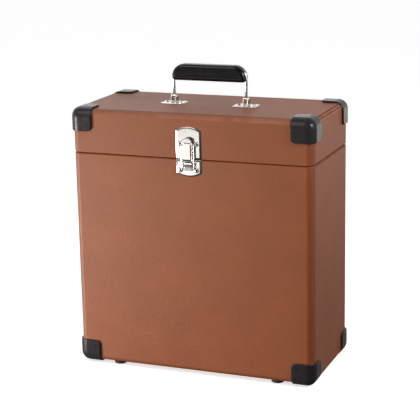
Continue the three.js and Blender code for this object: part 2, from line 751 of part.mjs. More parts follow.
function buildLid() {
  const lid = new THREE.Group();
  add(lid, 'lid_cover', coverSolid(ZONES.lid), leatherette);
  addBoards(lid, 'lid', 'top', [HEIGHT - ROOM_INSET, HEIGHT - BOARD_INSET]);
  const liningFoot = PARTING + COLLAR_ABOVE + 2;
  const liningRoof = HEIGHT - ROOM_INSET - GAP;
  add(lid, 'lid_lining', liningSolid(liningRoof, liningFoot, false), liningCloth);
  addCaps(lid, 'lid', 1);
  add(lid, 'latch_plate', latchPlateSolid(), nickel);
  addFrontRivets(lid, 'latch', LATCH_RIVET_Z);
  add(lid, 'lever_pin', rod(LEVER_PIN_RADIUS, 'x', -LEVER_PIN_HALF, LEVER_PIN_HALF), nickel)
    .position.set(0, LEVER_PIVOT_Y, LEVER_PIVOT_Z);
  const leaf = hingeLeafSolid(1, LID_KNUCKLES);
  const bracket = bracketSolid();
  const pin = handlePinSolid();
  const rivet = rivetSolid(BRACKET_RIVET_HEAD_RADIUS, 'z');
  const rivetSeat = HEIGHT + GAP + BRACKET_PLATE + GAP;
  for (const [side, sx] of SIDES) {
    add(lid, `hinge_lid_leaf_${side}`, leaf, nickel).position.set(sx * HINGE_X, HINGE_AXIS_Y, PARTING);
    add(lid, `handle_bracket_${side}`, bracket, nickel).position.set(sx * HANDLE_LEG_X, 0, HANDLE_PIVOT_Z);
    add(lid, `handle_pin_${side}`, pin, nickel).position.set(sx * HANDLE_LEG_X, 0, HANDLE_PIVOT_Z);
    for (const [place, s] of [['inner', -sx], ['outer', sx]]) {
      add(lid, `bracket_rivet_${side}_${place}`, rivet, nickel)
        .position.set(sx * HANDLE_LEG_X + s * BRACKET_RIVET_X, 0, rivetSeat);
    }
  }
  return lid;
}

function buildHandle() {
  const handle = new THREE.Group();
  handle.position.z = HANDLE_PIVOT_Z;
  add(handle, 'handle_bail', bailSolid(), nickel);
  add(handle, 'handle_grip', gripSolid(), blackPlastic);
  return handle;
}

function buildLever() {
  const lever = new THREE.Group();
  lever.position.set(0, LEVER_PIVOT_Y, LEVER_PIVOT_Z);
  add(lever, 'latch_lever', leverSolid(), nickel);
  add(lever, 'latch_loop', loopSolid(), nickel).position.set(0, LOOP_PIVOT_Y, LOOP_PIVOT_Z);
  return lever;
}

const recordCase = new THREE.Group();
recordCase.position.z = FOOT_HEIGHT;
recordCase.add(buildBase(), buildLid(), buildHandle(), buildLever());

export default recordCase;
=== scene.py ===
"""Twelve-inch record carrying case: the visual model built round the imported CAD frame.

Lengths are in millimetres in the row frame until `make_mesh` turns them into metres.
The front faces -Y.
"""

import json
import math

import bmesh
import bpy
from mathutils import Euler, Matrix, Vector

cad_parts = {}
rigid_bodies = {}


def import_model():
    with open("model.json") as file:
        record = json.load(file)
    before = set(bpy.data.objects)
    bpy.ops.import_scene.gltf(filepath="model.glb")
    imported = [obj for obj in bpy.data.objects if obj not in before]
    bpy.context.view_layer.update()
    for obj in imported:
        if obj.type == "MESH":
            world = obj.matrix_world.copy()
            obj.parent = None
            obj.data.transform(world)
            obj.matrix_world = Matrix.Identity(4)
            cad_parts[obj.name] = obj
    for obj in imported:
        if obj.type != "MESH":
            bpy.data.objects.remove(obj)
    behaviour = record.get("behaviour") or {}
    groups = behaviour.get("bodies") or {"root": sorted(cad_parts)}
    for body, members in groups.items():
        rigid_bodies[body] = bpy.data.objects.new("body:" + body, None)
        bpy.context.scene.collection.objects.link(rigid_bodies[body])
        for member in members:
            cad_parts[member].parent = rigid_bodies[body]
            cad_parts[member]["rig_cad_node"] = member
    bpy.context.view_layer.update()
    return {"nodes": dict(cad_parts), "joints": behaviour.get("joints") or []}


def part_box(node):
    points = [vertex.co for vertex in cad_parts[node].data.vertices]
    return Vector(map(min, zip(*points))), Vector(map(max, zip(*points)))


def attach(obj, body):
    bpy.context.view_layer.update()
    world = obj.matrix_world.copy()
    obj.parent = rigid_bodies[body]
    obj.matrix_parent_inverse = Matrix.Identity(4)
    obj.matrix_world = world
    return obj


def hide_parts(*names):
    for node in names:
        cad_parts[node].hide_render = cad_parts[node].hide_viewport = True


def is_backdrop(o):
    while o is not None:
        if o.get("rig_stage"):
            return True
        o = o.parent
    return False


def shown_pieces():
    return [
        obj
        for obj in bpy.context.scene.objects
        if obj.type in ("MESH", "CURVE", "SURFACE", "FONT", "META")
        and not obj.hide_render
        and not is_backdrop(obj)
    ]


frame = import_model()

MM = 0.001
SIDES = (("left", -1), ("right", 1))
FACES = (("front", -1), ("back", 1))


# ---- The frame's own measures, in millimetres ----


def node_box(name):
    low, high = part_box(name)
    return Vector(low) / MM, Vector(high) / MM


def node_middle(name):
    low, high = node_box(name)
    return tuple((low[k] + high[k]) / 2 for k in range(3))


def joint_place(name):
    joint = next(j for j in frame["joints"] if j["name"] == name)
    return Vector(joint["pos_m"]) / MM


BASE_LOW, BASE_HIGH = node_box("base_cover")
LID_LOW, LID_HIGH = node_box("lid_cover")
HALF_X = BASE_HIGH.x
HALF_Y = BASE_HIGH.y
FLOOR_Z = BASE_LOW.z
TOP_Z = LID_HIGH.z
BASE_RIM = BASE_HIGH.z
LID_RIM = LID_LOW.z
FRONT_Y = -HALF_Y

WALL_RADIUS = 10.0
CREST_RADIUS = 8.0
RIM_RADIUS = 2.0
COVER = 1.2
ROOM_INSET = 9.5
PANEL_PROUD = 0.28
SIDE_CREST = 4.2
CUT_EDGE = 0.95
CUT_EDGE_PROUD = 0.06
SHEET_SUNK = 0.4
SHEET_MARGIN = 0.6


# ---- Mesh helpers ----


def arc(centre, radius, start, end, steps):
    """Points of an arc in a plane, angles in degrees."""
    points = []
    for i in range(steps + 1):
        angle = math.radians(start + (end - start) * i / steps)
        points.append((centre[0] + radius * math.cos(angle), centre[1] + radius * math.sin(angle)))
    return points


def rounded_rect(half_u, half_v, radius, steps=8):
    """Rounded rectangle about the origin, anticlockwise."""
    u, v = half_u - radius, half_v - radius
    points = []
    for start, (su, sv) in zip((0, 90, 180, 270), ((1, 1), (-1, 1), (-1, -1), (1, -1))):
        points += arc((su * u, sv * v), radius, start, start + 90, steps)
    return points


def inset_outline(points, distance):
    """A convex anticlockwise outline moved inwards by a distance."""
    count = len(points)
    moved = []
    for i in range(count):
        before, here, after = (Vector(points[(i + k) % count]) for k in (-1, 0, 1))
        first, second = (here - before).normalized(), (after - here).normalized()
        normal_a, normal_b = Vector((-first.y, first.x)), Vector((-second.y, second.x))
        middle = (normal_a + normal_b).normalized()
        moved.append(tuple(here + middle * (distance / max(0.3, middle.dot(normal_a)))))
    return moved


def place(axis, u, v, w):
    """A point from outline coordinates (u, v) and a height w along the axis."""
    return {"x": (w, u, v), "y": (u, w, v), "z": (u, v, w)}[axis]


def loft(rings, close_ends=True, ring_closed=False):
    """Vertices and faces that join rings of equally many points."""
    count = len(rings[0])
    verts = [tuple(p) for ring in rings for p in ring]
    faces = []
    spans = len(rings) if ring_closed else len(rings) - 1
    for k in range(spans):
        a, b = k * count, ((k + 1) % len(rings)) * count
        for i in range(count):
            j = (i + 1) % count
            faces.append((a + i, a + j, b + j, b + i))
    if close_ends and not ring_closed:
        faces.append(tuple(reversed(range(count))))
        faces.append(tuple(range((len(rings) - 1) * count, len(rings) * count)))
    return verts, faces


def stack(axis, layers):
    """A loft of outlines at heights along an axis: layers is a list of (outline, height)."""
    return loft([[place(axis, u, v, w) for u, v in outline] for outline, w in layers])


def slab(axis, outline, low, high):
    return stack(axis, [(outline, low), (outline, high)])


def revolve(profile, axis, centre, steps=32):
    """Turns a profile of (radius, height) about an axis through a centre."""
    rings = []
    for radius, height in profile:
        turns = [2 * math.pi * i / steps for i in range(steps)]
        ring = [(radius * math.cos(turn), radius * math.sin(turn)) for turn in turns]
        rings.append([tuple(Vector(place(axis, u, v, height)) + Vector(centre)) for u, v in ring])
    return loft(rings)


def revolve_closed(profile, axis, centre, steps):
    """Turns a closed profile that keeps clear of the axis, so that its ends need no caps."""
    verts, faces = revolve(profile + profile[:1], axis, centre, steps)
    return verts, faces[:-2]


def sweep(points, radius, sides=20, across=(0, 1, 0)):
    """A round wire along a path that lies in the plane square to `across`."""
    across = Vector(across)
    rings = []
    for i, point in enumerate(points):
        ahead = Vector(points[min(i + 1, len(points) - 1)])
        behind = Vector(points[max(i - 1, 0)])
        up = (ahead - behind).normalized().cross(across).normalized()
        ring = []
        for k in range(sides):
            angle = 2 * math.pi * k / sides
            offset = across * math.cos(angle) + up * math.sin(angle)
            ring.append(tuple(Vector(point) + offset * radius))
        rings.append(ring)
    return loft(rings)


def smooth_path(points, steps=10):
    """A Catmull-Rom curve through the points."""
    points = [Vector(p) for p in points]
    ends = [2 * points[0] - points[1], *points, 2 * points[-1] - points[-2]]
    path = []
    for i in range(1, len(ends) - 2):
        a, b, c, d = ends[i - 1:i + 3]
        for k in range(steps):
            t = k / steps
            path.append(0.5 * (2 * b + (c - a) * t + (2 * a - 5 * b + 4 * c - d) * t * t
                               + (3 * b - a - 3 * c + d) * t ** 3))
    path.append(points[-1])
    return path


def merged(*parts):
    """One vertex and face list from several."""
    verts, faces = [], []
    for part_verts, part_faces in parts:
        start = len(verts)
        verts += part_verts
        faces += [tuple(i + start for i in face) for face in part_faces]
    return verts, faces


def moved(part, by=(0, 0, 0), scale=(1, 1, 1)):
    verts, faces = part
    changed = [tuple(v[k] * scale[k] + by[k] for k in range(3)) for v in verts]
    return changed, faces


def make_mesh(name, part):
    """A mesh object in metres, with its faces turned outwards."""
    verts, faces = part
    mesh = bpy.data.meshes.new(name)
    mesh.from_pydata([Vector(v) * MM for v in verts], [], faces)
    bm = bmesh.new()
    bm.from_mesh(mesh)
    bmesh.ops.remove_doubles(bm, verts=bm.verts, dist=1e-7)
    bmesh.ops.recalc_face_normals(bm, faces=bm.faces)
    bm.to_mesh(mesh)
    bm.free()
    piece = bpy.data.objects.new(name, mesh)
    bpy.context.scene.collection.objects.link(piece)
    return piece


def apply_modifiers(piece):
    graph = bpy.context.evaluated_depsgraph_get()
    mesh = bpy.data.meshes.new_from_object(piece.evaluated_get(graph))
    old = piece.data
    piece.modifiers.clear()
    piece.data = mesh
    bpy.data.meshes.remove(old)


def combine(piece, other_part, operation):
    """Joins or cuts with another solid, and keeps the result as plain mesh."""
    other = make_mesh(piece.name + "_tool", other_part)
    change = piece.modifiers.new("change", "BOOLEAN")
    change.operation = operation
    change.solver = "EXACT"
    change.object = other
    bpy.context.view_layer.update()
    apply_modifiers(piece)
    bpy.data.objects.remove(other)


def build(name, part, material, body, bevel=0.0, segments=3, angle=32, replaces=(),
          cuts=(), joins=()):
    """Makes one piece, rounds its edges, gives it its material and puts it on its body."""
    piece = make_mesh(name, part)
    for other in joins:
        combine(piece, other, "UNION")
    for other in cuts:
        combine(piece, other, "DIFFERENCE")
    for polygon in piece.data.polygons:
        polygon.use_smooth = True
    piece.data.set_sharp_from_angle(angle=math.radians(angle + 8))
    if bevel:
        rounding = piece.modifiers.new("rounding", "BEVEL")
        rounding.width = bevel * MM
        rounding.segments = segments
        rounding.limit_method = "ANGLE"
        rounding.angle_limit = math.radians(angle)
        rounding.use_clamp_overlap = True
        rounding.harden_normals = True
    piece.data.materials.clear()
    piece.data.materials.append(material)
    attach(piece, body)
    if replaces:
        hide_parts(*replaces)
    return piece


# ---- Materials ----


class Nodes:
    """A material with a Principled shader and short calls for the nodes that feed it."""

    def __init__(self, name):
        self.material = bpy.data.materials.new(name)
        self.material.use_nodes = True
        self.tree = self.material.node_tree
        self.shader = self.tree.nodes["Principled BSDF"]
        self.place = self.tree.nodes.new("ShaderNodeTexCoord").outputs["Object"]

    def link(self, source, target):
        self.tree.links.new(source, target)

    def texture(self, kind, scale, **settings):
        node = self.tree.nodes.new(kind)
        self.link(self.place, node.inputs["Vector"])
        node.inputs["Scale"].default_value = scale
        for key, value in settings.items():
            if key in node.inputs:
                node.inputs[key].default_value = value
            else:
                setattr(node, key, value)
        return node

    def noise(self, scale, detail=3.0, roughness=0.5):
        node = self.texture("ShaderNodeTexNoise", scale, Detail=detail, Roughness=roughness)
        return node.outputs["Fac"]

    def cells(self, scale, feature="F1"):
        return self.texture("ShaderNodeTexVoronoi", scale, feature=feature).outputs["Distance"]

    def stretched(self, source, low, high, new_low=0.0, new_high=1.0):
        node = self.tree.nodes.new("ShaderNodeMapRange")
        self.link(source, node.inputs["Value"])
        ends = {"From Min": low, "From Max": high, "To Min": new_low, "To Max": new_high}
        for key, value in ends.items():
            node.inputs[key].default_value = value
        return node.outputs["Result"]

    def blended(self, factor, first, second):
        node = self.tree.nodes.new("ShaderNodeMix")
        node.data_type = "RGBA"
        self.link(factor, node.inputs["Factor"])
        for socket, value in ((node.inputs[6], first), (node.inputs[7], second)):
            if isinstance(value, tuple):
                socket.default_value = (*value, 1)
            else:
                self.link(value, socket)
        return node.outputs[2]

    def product(self, first, second):
        node = self.tree.nodes.new("ShaderNodeMath")
        node.operation = "MULTIPLY"
        self.link(first, node.inputs[0])
        self.link(second, node.inputs[1])
        return node.outputs[0]

    def band(self, axis, start, full, fading, end):
        """1 where a coordinate in mm lies from full to fading, falling to 0 at start and end."""
        split = self.tree.nodes.new("ShaderNodeSeparateXYZ")
        self.link(self.place, split.inputs["Vector"])
        rising = self.stretched(split.outputs[axis], start * MM, full * MM)
        falling = self.stretched(split.outputs[axis], fading * MM, end * MM, 1.0, 0.0)
        return self.product(rising, falling)

    def summed(self, first, second, weight):
        node = self.tree.nodes.new("ShaderNodeMath")
        node.operation = "MULTIPLY_ADD"
        self.link(second, node.inputs[0])
        node.inputs[1].default_value = weight
        self.link(first, node.inputs[2])
        return node.outputs[0]

    def bump(self, height, strength, distance_mm):
        node = self.tree.nodes.new("ShaderNodeBump")
        node.inputs["Strength"].default_value = strength
        node.inputs["Distance"].default_value = distance_mm * MM
        self.link(height, node.inputs["Height"])
        self.link(node.outputs["Normal"], self.shader.inputs["Normal"])

    def set(self, **values):
        for key, value in values.items():
            self.shader.inputs[key.replace("_", " ")].default_value = value

    def feed(self, key, source):
        self.link(source, self.shader.inputs[key])


# Depths below the lid's top that bound the painted crest highlight band.
CREST_HIGHLIGHT_BAND = (7.6, 5.9, 1.7, 0.5)


def leatherette():
    """Tan covering: cloudy stain, fine pebbled grain and a painted highlight, a paler pinkish band
    along the lid's crest.
    """
    m = Nodes("leatherette")
    clouds = m.stretched(m.noise(13, 5, 0.6), 0.34, 0.68)
    patches = m.stretched(m.noise(52, 5, 0.62), 0.36, 0.66, 0.0, 0.5)
    stain = m.blended(clouds, (0.246, 0.063, 0.018), (0.300, 0.079, 0.024))
    tone = m.blended(patches, stain, (0.215, 0.054, 0.014))
    flecks = m.stretched(m.noise(560, 3, 0.6), 0.40, 0.62, 0.0, 0.22)
    tone = m.blended(flecks, tone, (0.40, 0.145, 0.062))
    pores = m.stretched(m.cells(1050), 0.0, 0.30, 0.42, 0.0)
    tone = m.blended(pores, tone, (0.110, 0.028, 0.010))
    # Painted highlight: a paler, pinker band round the lid's top crest, broken up by noise, stands
    # in for lamp light caught on the curve.
    crest_band = m.band("Z", *(TOP_Z - depth for depth in CREST_HIGHLIGHT_BAND))
    painted_crest_highlight = m.product(crest_band, m.stretched(m.noise(45, 4), 0.30, 0.62, 0.12, 0.52))
    m.feed("Base Color", m.blended(painted_crest_highlight, tone, (0.43, 0.180, 0.110)))
    m.feed("Roughness", m.stretched(m.noise(210, 4), 0.3, 0.7, 0.46, 0.53))
    height = m.summed(m.cells(620, "SMOOTH_F1"), m.noise(1700, 2), 0.35)
    m.bump(height, 0.45, 0.5)
    m.set(Specular_IOR_Level=0.36)
    return m.material


def cut_edge_and_seam_shade():
    # Cut edge of the covering; its dark brown also serves as painted shade along the step round
    # each sheet.
    m = Nodes("cut_edge_and_seam_shade")
    m.feed("Base Color", m.blended(m.noise(260, 4), (0.070, 0.019, 0.0075), (0.110, 0.031, 0.012)))
    m.feed("Roughness", m.stretched(m.noise(400, 3), 0.3, 0.7, 0.7, 0.85))
    m.bump(m.noise(1300, 3), 0.3, 0.2)
    return m.material


def moulded_plastic(name, colour, roughness, specular):
    """Glossy moulded plastic with a faint ripple and a little haze."""
    m = Nodes(name)
    m.feed("Base Color", m.blended(m.noise(70, 3), colour, tuple(1.5 * c for c in colour)))
    m.feed("Roughness", m.stretched(m.noise(150, 4), 0.3, 0.7, roughness * 0.8, roughness * 1.3))
    m.bump(m.noise(420, 3), 0.05, 0.25)
    m.set(Specular_IOR_Level=specular)
    return m.material


def rubber():
    m = Nodes("foot_rubber")
    m.feed("Base Color", m.blended(m.noise(300, 4), (0.012, 0.012, 0.012), (0.030, 0.029, 0.028)))
    m.feed("Roughness", m.stretched(m.noise(500, 3), 0.3, 0.7, 0.6, 0.8))
    m.bump(m.noise(1500, 3), 0.25, 0.2)
    return m.material


def plated(name, colour, roughness):
    """Bright plating: fine polishing haze over a slightly uneven pressing."""
    m = Nodes(name)
    m.set(Metallic=1.0)
    m.feed("Base Color", m.blended(m.noise(45, 3), colour, tuple(0.86 * c for c in colour)))
    haze = m.stretched(m.noise(900, 4, 0.6), 0.3, 0.7, roughness * 0.75, roughness * 1.35)
    m.feed("Roughness", haze)
    m.bump(m.noise(110, 2), 0.10, 0.25)
    return m.material


def lining_cloth():
    """Black short-nap lining: felted fibres with a soft sheen."""
    m = Nodes("lining_cloth")
    nap = m.noise(900, 5, 0.7)
    m.feed("Base Color", m.blended(nap, (0.010, 0.010, 0.011), (0.040, 0.039, 0.040)))
    m.bump(m.summed(m.noise(2600, 4, 0.7), m.noise(120, 3), 0.8), 0.6, 0.4)
    m.set(Roughness=0.95, Sheen_Weight=0.35, Sheen_Roughness=0.5)
    return m.material


def fibreboard():
    m = Nodes("fibreboard")
    fibres = m.noise(700, 6, 0.7)
    m.feed("Base Color", m.blended(fibres, (0.30, 0.20, 0.11), (0.46, 0.33, 0.20)))
    m.feed("Roughness", m.stretched(fibres, 0.3, 0.7, 0.75, 0.92))
    m.bump(m.noise(1800, 5, 0.7), 0.4, 0.3)
    return m.material


LEATHER = leatherette()
CUT_EDGE_AND_SEAM_SHADE = cut_edge_and_seam_shade()
CAP_PLASTIC = moulded_plastic("cap_plastic", (0.0225, 0.0198, 0.0208), 0.20, 0.26)
GRIP_PLASTIC = moulded_plastic("grip_plastic", (0.0045, 0.0045, 0.0050), 0.17, 0.40)
RUBBER = rubber()
NICKEL = plated("nickel", (0.80, 0.77, 0.72), 0.17)
# Dark plating for the caps' nails, and painted shade for the rivets' hollows.
DARK_NAIL_AND_BORE_SHADE = plated("dark_nail_and_bore_shade", (0.014, 0.013, 0.013), 0.30)
WIRE = plated("chrome_wire", (0.80, 0.80, 0.80), 0.20)
CLOTH = lining_cloth()
BOARD = fibreboard()


# ---- Case ----


def case_outline(inset):
    radius = max(WALL_RADIUS - inset, 0.6)
    return rounded_rect(HALF_X - inset, HALF_Y - inset, radius)


def cover_profile(height):
    """(inset, distance from the closed end): outside, rim, turned-in edge and inside."""
    crest, rim = CREST_RADIUS, RIM_RADIUS
    outside = [(crest - d, h) for d, h in arc((0, crest), crest, -90, 0, 8)]
    top = [(rim - d, h) for d, h in arc((0, height - rim), rim, 0, 90, 5)]
    turned_in = [(ROOM_INSET - 0.6, height), (ROOM_INSET, height - 0.5),
                 (ROOM_INSET, height - COVER)]
    inner = crest - COVER
    inside = [(crest - d, h) for d, h in arc((0, crest), inner, 0, -90, 6)]
    return outside + top + turned_in + [(COVER, height - COVER)] + inside


def cover(name, body, end_z, direction, height):
    layers = [(case_outline(inset), end_z + direction * h) for inset, h in cover_profile(height)]
    return build(name, stack("z", layers), LEATHER, body, replaces=(name,))


def overlay(name, body, axis, centre, half_u, half_v, surface, outward):
    """A separate sheet of covering glued on a flat, with a dark strip round it: its cut edge,
    darkened further as painted shade for the step at the seam.
    """
    def at(growth):
        return [(u + centre[0], v + centre[1])
                for u, v in rounded_rect(half_u + growth, half_v + growth, 2.5 + growth, 5)]

    sunk = surface - outward * SHEET_SUNK
    part = slab(axis, at(0), sunk, surface + outward * PANEL_PROUD)
    build(name, part, LEATHER, body, bevel=0.14, segments=2)
    low, high = sunk, surface + outward * CUT_EDGE_PROUD
    corners = ((at(-0.1), low), (at(CUT_EDGE), low), (at(CUT_EDGE), high), (at(-0.1), high))
    rings = [[place(axis, u, v, w) for u, v in outline] for outline, w in corners]
    seam = loft(rings, ring_closed=True)
    # The dark strip is partly the real cut edge and partly painted shade at the seam.
    build(name.replace("sheet", "seam"), seam, CUT_EDGE_AND_SEAM_SHADE, body)


def make_covers():
    cover("base_cover", "base", FLOOR_Z, 1, BASE_RIM - FLOOR_Z)
    cover("lid_cover", "lid", TOP_Z, -1, TOP_Z - LID_RIM)
    side_v = HALF_Y - WALL_RADIUS - SHEET_MARGIN
    for body, low, high in (("base", FLOOR_Z + SIDE_CREST, BASE_RIM - RIM_RADIUS),
                            ("lid", LID_RIM + RIM_RADIUS, TOP_Z - SIDE_CREST)):
        for side, sign in SIDES:
            overlay(f"{body}_side_sheet_{side}", body, "x", (0, (low + high) / 2), side_v,
                    (high - low) / 2, sign * HALF_X, sign)
    flat_x = HALF_X - SIDE_CREST
    flat_y = HALF_Y - CREST_RADIUS - SHEET_MARGIN
    overlay("lid_top_sheet", "lid", "z", (0, 0), flat_x, flat_y, TOP_Z, 1)
    overlay("base_bottom_sheet", "base", "z", (0, 0), flat_x, flat_y, FLOOR_Z, -1)


LINING_WALL = 1.0


def tray(half_x, half_y, wall, floor, rim, up):
    """An open cloth tray with soft corners."""
    def at(inset, height):
        outline = rounded_rect(half_x - inset, half_y - inset, max(3.0 - inset, 0.8), 5)
        return outline, floor + up * height

    depth = abs(rim - floor)
    layers = [at(2.0, 0.0), at(0.6, 0.3), at(0.0, 1.4), at(0.0, depth - 0.3), at(0.4, depth)]
    layers += [at(wall, depth - 0.2), at(wall, wall + 3.0), at(wall + 1.0, wall + 1.0),
               at(wall + 3.0, wall)]
    return stack("z", layers)


def make_lining():
    for name, body, up in (("base_lining", "base", 1), ("lid_lining", "lid", -1)):
        low, high = node_box(name)
        floor, rim = (low.z, high.z) if up > 0 else (high.z, low.z)
        part = tray(high.x, high.y, LINING_WALL, floor, rim, up)
        build(name, part, CLOTH, body, replaces=(name,))
    for side in ("front", "back", "left", "right"):
        name = f"collar_{side}"
        low, high = node_box(name)
        centre, half = (low + high) / 2, (high - low) / 2
        outline = [(u + centre.x, v + centre.y) for u, v in rounded_rect(half.x, half.y, 1.0, 3)]
        strip = slab("z", outline, low.z, high.z)
        build(name, strip, CLOTH, "base", bevel=0.9, replaces=(name,))


def carry_over_boards():
    for name, node in frame["nodes"].items():
        if name.endswith("_board"):
            node.data.materials.clear()
            node.data.materials.append(BOARD)


# ---- Corner caps ----

CAP_REACH = 32.0
CAP_PROUD = 3.3
CAP_BALL = 14.5
CAP_WALL = 2.9
CAP_RIM = 0.9
CAP_FLAP = 7.0
CAP_ROWS = 6
CAP_ARCS = 9
NAIL_IN = 24.0
NAIL_DOME = ((1.25, -0.6), (1.25, 0.05), (1.0, 0.18), (0.5, 0.26), (0.15, 0.28))


def flap_point(u, v, reach):
    """Rounds the free corner of a flap: (u, v) are distances from the cap's two outer edges."""
    start = reach - CAP_FLAP
    s, t = u - start, v - start
    if s <= 0 or t <= 0:
        return u, v
    pull = max(s, t) / math.hypot(s, t)
    return start + s * pull, start + t * pull


def ball_point(p, radius):
    """Moves a point of the sharp corner, at the origin, onto the rounded one inside it."""
    core = Vector([min(c, -radius) for c in p])
    return core + (Vector(p) - core).normalized() * radius


def cap_grid():
    """Vertices and faces of a cap's outer sheet, its corner at the origin."""
    reach = CAP_REACH + CAP_PROUD
    near = [CAP_BALL * i / CAP_ARCS for i in range(CAP_ARCS + 1)]
    far = [CAP_BALL + (reach - CAP_BALL) * i / CAP_ROWS for i in range(1, CAP_ROWS + 1)]
    rows = near + far
    verts, faces = [], []
    for axis in range(3):
        start = len(verts)
        for a in rows:
            for b in rows:
                u, v = flap_point(a, b, reach)
                corner = [0.0, 0.0, 0.0]
                corner[(axis + 1) % 3], corner[(axis + 2) % 3] = -u, -v
                verts.append(tuple(ball_point(corner, CAP_BALL)))
        n = len(rows)
        for i in range(n - 1):
            for j in range(n - 1):
                at = start + i * n + j
                faces.append((at, at + n, at + n + 1, at + 1))
    return verts, faces


def corner_cap(name, body, signs):
    """One cap: the sheet is mirrored to its corner, thickened inwards and rounded along its rim."""
    corner = Vector((HALF_X + CAP_PROUD, HALF_Y + CAP_PROUD, 0))
    corner.z = TOP_Z + CAP_PROUD if signs[2] > 0 else FLOOR_Z - CAP_PROUD
    place_by = (signs[0] * corner.x, signs[1] * corner.y, corner.z)
    piece = build(name, moved(cap_grid(), place_by, signs), CAP_PLASTIC, body,
                  replaces=(name,))
    bm = bmesh.new()
    bm.from_mesh(piece.data)
    bmesh.ops.recalc_face_normals(bm, faces=bm.faces)
    outward = Vector(signs)
    if sum(f.normal.dot(outward) for f in bm.faces) < 0:
        bmesh.ops.reverse_faces(bm, faces=bm.faces)
    bm.to_mesh(piece.data)
    bm.free()
    wall = piece.modifiers.new("wall", "SOLIDIFY")
    wall.thickness = CAP_WALL * MM
    wall.offset = -1.0
    rim = piece.modifiers.new("rim", "BEVEL")
    rim.width = CAP_RIM * MM
    rim.segments = 3
    rim.limit_method = "ANGLE"
    rim.angle_limit = math.radians(50)
    apply_modifiers(piece)
    nails = []
    for axis in range(3):
        spot = [place_by[k] - signs[k] * (NAIL_IN + CAP_PROUD) for k in range(3)]
        spot[axis] = place_by[axis] - signs[axis] * 0.1
        dome = [(radius, signs[axis] * height) for radius, height in NAIL_DOME]
        nails.append(revolve(dome, "xyz"[axis], spot, 20))
    build(name.replace("corner", "corner_nails"), merged(*nails), DARK_NAIL_AND_BORE_SHADE, body)


def make_caps():
    for zone, sz in (("base", -1), ("lid", 1)):
        for face, sy in FACES:
            for side, sx in SIDES:
                corner_cap(f"{zone}_corner_{face}_{side}", zone, (sx, sy, sz))


# ---- Feet ----

SCREW_HEAD = ((0.2, 1.0), (2.4, 1.0), (3.5, 1.4), (3.9, 2.0), (3.8, 2.2), (1.7, 2.3), (1.7, 4.9),
              (0.2, 4.9))


def make_feet():
    for face, _ in FACES:
        for side, _ in SIDES:
            name = f"foot_{face}_{side}"
            low, high = node_box(name)
            centre = (*node_middle(name)[:2], 0)
            radius = (high.x - low.x) / 2
            top = high.z + 0.2
            profile = [(2.1, top), (radius - 0.5, top), (radius, top - 0.5), (radius - 0.4, 1.2),
                       (radius - 0.8, 0.4), (radius - 1.7, 0.0), (5.2, 0.0), (4.5, 0.5), (4.4, 2.4),
                       (2.1, 2.5)]
            foot = revolve_closed(profile, "z", centre, 40)
            build(name, foot, RUBBER, "base", replaces=(name,))
            screw_name = f"foot_screw_{face}_{side}"
            cross = [slab("z", [(centre[0] + u * w, centre[1] + v * h) for u, v in
                                ((-1, -1), (1, -1), (1, 1), (-1, 1))], 0.7, 1.7)
                     for w, h in ((2.3, 0.35), (0.35, 2.3))]
            build(screw_name, revolve(SCREW_HEAD, "z", centre, 28), NICKEL, "base",
                  replaces=(screw_name,), cuts=cross)


# ---- Latch ----

LATCH_HALF = 19.0
PLATE_BACK = FRONT_Y - 0.2
PLATE_FACE = FRONT_Y - 1.5
PLATE_RIM = 2.4
LATCH_ARCH = 5.9
CATCH_ARCH = 5.6
EAR_APART = 2.85
EAR_HALF = 0.55
RIVET_RADIUS = 3.7
RIVET_HEIGHT = 1.1
RIVET_HOLLOW = 1.35
HOOK_HALF = 5.4
HOOK_SHAPE = ((-0.4, 11.2), (1.4, 10.3), (2.9, 8.2), (3.7, 5.2), (3.8, 1.7), (2.9, 1.6), (2.7, 4.8),
              (2.0, 7.0), (0.9, 8.6), (-0.4, 9.3))


def arched(straight, shoulder, crown):
    """Outline in (x, z) of a plate with one straight and one arched end."""
    rise = abs(crown - shoulder)
    radius = (LATCH_HALF ** 2 + rise ** 2) / (2 * rise)
    side = 1 if crown > shoulder else -1
    spread = math.degrees(math.asin(LATCH_HALF / radius))
    middle = 90 * side
    curve = arc((0, crown - side * radius), radius, middle - spread, middle + spread, 18)
    near, far = -side * LATCH_HALF, side * LATCH_HALF
    return [(near, straight), (far, straight)] + curve


def pressed_plate(outline):
    """A pressed plate: a thin lip at the case, a soft bevel and a raised flat face."""
    return stack("y", [
        (outline, PLATE_BACK),
        (outline, PLATE_BACK - 0.45),
        (inset_outline(outline, 0.3), PLATE_BACK - 0.7),
        (inset_outline(outline, PLATE_RIM - 0.4), PLATE_FACE + 0.1),
        (inset_outline(outline, PLATE_RIM), PLATE_FACE),
    ])


def rivet_part(axis, spot, outward, radius, height, hollow=1.0):
    """A tubular rivet's head: a flat ring with a rolled rim and a hole in the middle."""
    steps = [(0.05, -0.6), (hollow, -0.6), (hollow, 0.45 * height), (hollow + 0.35, 0.9 * height),
             (radius * 0.62, height), (radius * 0.88, 0.7 * height), (radius, 0.2 * height),
             (radius, -0.5), (0.05, -0.7)]
    return revolve([(r, outward * h) for r, h in steps], axis, spot, 30)


def bore_shade_part(axis, spot, outward, hollow):
    """A dark disc in a tubular rivet's hollow: painted shade standing for the dark bottom of the
    hole.
    """
    radius = hollow * 0.96
    steps = [(0.05, 0.0), (radius, 0.0), (radius, outward * 0.25), (0.05, outward * 0.22)]
    return revolve(steps, axis, spot, 20)


